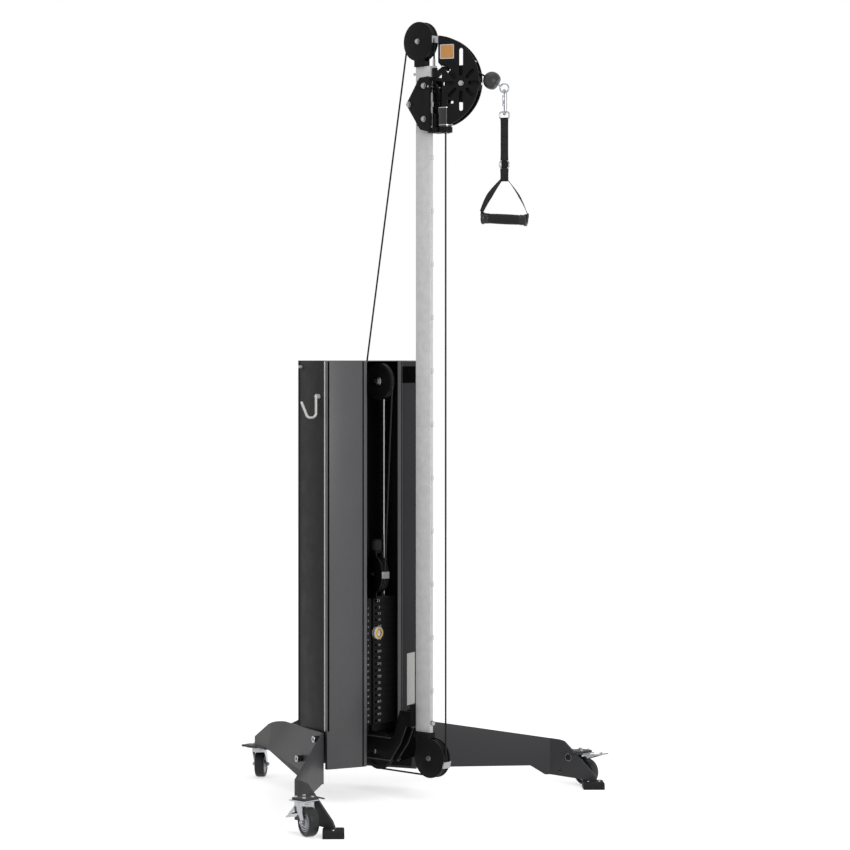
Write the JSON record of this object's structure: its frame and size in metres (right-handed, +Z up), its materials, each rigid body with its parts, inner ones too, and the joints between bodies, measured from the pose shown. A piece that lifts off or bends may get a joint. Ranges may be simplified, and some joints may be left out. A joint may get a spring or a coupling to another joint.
{
  "type": "cable crossover machine",
  "caption": "Wheeled cable column with a sliding carriage, swivelling pulley head, stirrup handle, selectable weight stack in a sheet metal shroud, and a splayed caster base.",
  "frame": {"origin": "on the floor, at the middle of the bounding box seen from above", "axes": "+Z up, -Y toward the user, +X to the user's left when facing the column"},
  "size_m": [1.243, 1.0764, 2.2924],
  "materials": {
    "zinc_bar": "dull mottled zinc on a flat steel bar",
    "black_coat": "black powder coat, fine texture",
    "leg_coat": "dark grey powder coat",
    "panel_coat": "grey powder coat, satin",
    "plate_coat": "black enamel on steel weight plates",
    "bright_steel": "bright plated steel",
    "pulley_nylon": "moulded black nylon",
    "slide_plastic": "low friction plastic",
    "cable_jacket": "nylon coated steel cable",
    "stop_rubber": "moulded ball stop",
    "foot_rubber": "moulded foot",
    "tyre_rubber": "grey black tread",
    "webbing": "woven black webbing",
    "grip_rubber": "ribbed grip",
    "guide_chrome": "polished guide rod",
    "knob_gold": "gold ring with bright centre"
  },
  "bodies": {
    "frame": {"rail": "zinc_bar", "rail_studs": "zinc_bar", "rail_necks": "black_coat", "base_frame": "black_coat", "left_leg": "leg_coat", "right_leg": "leg_coat", "caster_brackets": "leg_coat", "caster_plates": "bright_steel", "foot_pads": "foot_rubber", "base_fasteners": "black_coat", "shroud_front_panels": "panel_coat", "shroud_side_panels": "panel_coat", "shroud_rear_panel": "panel_coat", "shroud_cap": "black_coat", "top_crossmember": "black_coat", "guide_rods": "guide_chrome", "resting_plates": "plate_coat", "accessory_hook": "bright_steel", "pulley_axles": "bright_steel", "cable_fixed": "cable_jacket"},
    "carriage": {"carriage_frame": "black_coat", "carriage_slides": "slide_plastic", "carriage_bolts": "bright_steel", "cable_terminal": "bright_steel", "cable_upper_run": "cable_jacket", "cable_lower_run": "cable_jacket"},
    "lever": {"release_lever": "black_coat"},
    "head": {"swivel_hub": "black_coat", "head_plates": "black_coat", "head_fasteners": "bright_steel", "exit_guides": "bright_steel", "cable_head": "cable_jacket"},
    "head_wheel": {"head_pulley": "pulley_nylon"},
    "pull": {"ball_stop": "stop_rubber", "end_ring": "bright_steel", "cable_pull_run": "cable_jacket"},
    "snap": {"snap_hook": "bright_steel"},
    "gate": {"snap_gate": "bright_steel"},
    "handle": {"strap": "webbing", "strap_rings": "bright_steel"},
    "grip": {"grip": "grip_rubber"},
    "stack": {"lifted_plates": "plate_coat", "selector_stem": "bright_steel", "stack_yoke": "black_coat", "cable_stack_runs": "cable_jacket"},
    "pin": {"selector_pin": "knob_gold"},
    "top_wheel": {"column_top_pulley": "pulley_nylon"},
    "low_wheel": {"column_low_pulley": "pulley_nylon"},
    "turn_wheel": {"turn_pulley": "pulley_nylon"},
    "guide_wheel": {"guide_pulley": "pulley_nylon"},
    "bottom_wheel": {"bottom_pulley": "pulley_nylon"},
    "floating_wheel": {"floating_pulley": "pulley_nylon"},
    "left_fork": {"left_caster_fork": "bright_steel"},
    "left_wheel": {"left_caster_wheel": "tyre_rubber"},
    "right_fork": {"right_caster_fork": "bright_steel"},
    "right_wheel": {"right_caster_wheel": "tyre_rubber"},
    "rear_fork": {"rear_caster_fork": "bright_steel"},
    "rear_wheel": {"rear_caster_wheel": "tyre_rubber"},
    "left_pedal": {"left_caster_pedal": "bright_steel"},
    "right_pedal": {"right_caster_pedal": "bright_steel"}
  },
  "joints": [
    {"name": "carriage_slide", "type": "slide", "parent": "frame", "child": "carriage", "axis": [0, 0, -1], "range_m": [0, 1.558], "deforming": ["cable_upper_run", "cable_lower_run"]},
    {"name": "release_lever", "type": "hinge", "parent": "carriage", "child": "lever", "pos_m": [0.00146, -0.25498, 2.098], "axis": [1, 0, 0], "range_deg": [0, 8], "stiffness_Nm_per_rad": 2},
    {"name": "head_swivel", "type": "hinge", "parent": "carriage", "child": "head", "pos_m": [0.00146, -0.29797, 2], "axis": [0, 0, 1], "range_deg": [-71, 19]},
    {"name": "handle_pull", "type": "slide", "parent": "head", "child": "pull", "axis": [0.4384, -0.8988, 0], "range_m": [0, 0.8]},
    {"name": "head_wheel_spin", "type": "hinge", "parent": "head", "child": "head_wheel", "pos_m": [0.02425, -0.34471, 2.103], "axis": [0.8988, 0.4384, 0], "continuous": true},
    {"name": "snap_swing", "type": "hinge", "parent": "pull", "child": "snap", "pos_m": [0.07909, -0.45714, 2.07341], "axis": [-0.8988, -0.4384, 0], "range_deg": [-8, 15]},
    {"name": "gate_hinge", "type": "hinge", "parent": "snap", "child": "gate", "pos_m": [0.0701, -0.46152, 2.03786], "axis": [-0.4384, 0.8988, 0], "range_deg": [0, 20], "stiffness_Nm_per_rad": 0.2},
    {"name": "handle_swing", "type": "hinge", "parent": "snap", "child": "handle", "pos_m": [0.07909, -0.45714, 2.01116], "axis": [-0.8988, -0.4384, 0], "range_deg": [-5, 30]},
    {"name": "grip_spin", "type": "hinge", "parent": "handle", "child": "grip", "pos_m": [0.07909, -0.45714, 1.708], "axis": [0.4376, -0.8971, -0.061], "continuous": true},
    {"name": "stack_lift", "type": "slide", "parent": "frame", "child": "stack", "axis": [0, 0, 1], "range_m": [0, 0.4], "deforming": ["cable_stack_runs"]},
    {"name": "pin_slide", "type": "slide", "parent": "stack", "child": "pin", "axis": [0, -1, 0], "range_m": [0, 0.07]},
    {"name": "column_top_spin", "type": "hinge", "parent": "frame", "child": "top_wheel", "pos_m": [0.00146, -0.19898, 2.235], "axis": [1, 0, 0], "continuous": true},
    {"name": "guide_spin", "type": "hinge", "parent": "frame", "child": "guide_wheel", "pos_m": [0.02546, 0.00302, 1.238], "axis": [1, 0, 0], "continuous": true},
    {"name": "turn_spin", "type": "hinge", "parent": "frame", "child": "turn_wheel", "pos_m": [0.00146, -0.02898, 1.238], "axis": [1, 0, 0], "continuous": true},
    {"name": "bottom_spin", "type": "hinge", "parent": "frame", "child": "bottom_wheel", "pos_m": [0.00146, -0.02898, 0.139], "axis": [1, 0, 0], "continuous": true},
    {"name": "column_low_spin", "type": "hinge", "parent": "frame", "child": "low_wheel", "pos_m": [0.00146, -0.24497, 0.139], "axis": [1, 0, 0], "continuous": true},
    {"name": "floating_spin", "type": "hinge", "parent": "stack", "child": "floating_wheel", "pos_m": [0.00896, -0.00898, 0.663], "axis": [0.9505, -0.3107, 0], "continuous": true},
    {"name": "left_swivel", "type": "hinge", "parent": "frame", "child": "left_fork", "pos_m": [-0.58954, -0.31698, 0.09], "axis": [0, 0, 1], "range_deg": [-10, 3]},
    {"name": "left_roll", "type": "hinge", "parent": "left_fork", "child": "left_wheel", "pos_m": [-0.59677, -0.34091, 0.041], "axis": [-0.9573, 0.289, 0], "continuous": true},
    {"name": "left_pedal_hinge", "type": "hinge", "parent": "left_fork", "child": "left_pedal", "pos_m": [-0.58434, -0.29974, 0.073], "axis": [0.9573, -0.289, 0], "range_deg": [0, 30]},
    {"name": "right_swivel", "type": "hinge", "parent": "frame", "child": "right_fork", "pos_m": [0.59246, -0.31698, 0.09], "axis": [0, 0, 1], "range_deg": [0, 178]},
    {"name": "right_roll", "type": "hinge", "parent": "right_fork", "child": "right_wheel", "pos_m": [0.59246, -0.33698, 0.041], "axis": [1, 0, 0], "continuous": true},
    {"name": "right_pedal_hinge", "type": "hinge", "parent": "right_fork", "child": "right_pedal", "pos_m": [0.59246, -0.33098, 0.081], "axis": [-1, 0, 0], "range_deg": [-10, 0]},
    {"name": "rear_swivel", "type": "hinge", "parent": "frame", "child": "rear_fork", "pos_m": [0.00146, 0.49102, 0.09], "axis": [0, 0, 1], "continuous": true},
    {"name": "rear_roll", "type": "hinge", "parent": "rear_fork", "child": "rear_wheel", "pos_m": [0.02006, 0.50454, 0.04], "axis": [-0.5878, 0.809, 0], "continuous": true}
  ],
  "couplings": [
    {"joint": "head_wheel_spin", "follows": "handle_pull", "rad_per_m": 19.231},
    {"joint": "stack_lift", "follows": "handle_pull", "ratio": 0.5},
    {"joint": "turn_spin", "follows": "handle_pull", "rad_per_m": -18.868},
    {"joint": "bottom_spin", "follows": "handle_pull", "rad_per_m": -18.868},
    {"joint": "column_low_spin", "follows": "handle_pull", "rad_per_m": -18.868},
    {"joint": "floating_spin", "follows": "handle_pull", "rad_per_m": -9.434},
    {"joint": "column_top_spin", "follows": "carriage_slide", "rad_per_m": 18.868},
    {"joint": "guide_spin", "follows": "carriage_slide", "rad_per_m": 18.868}
  ]
}
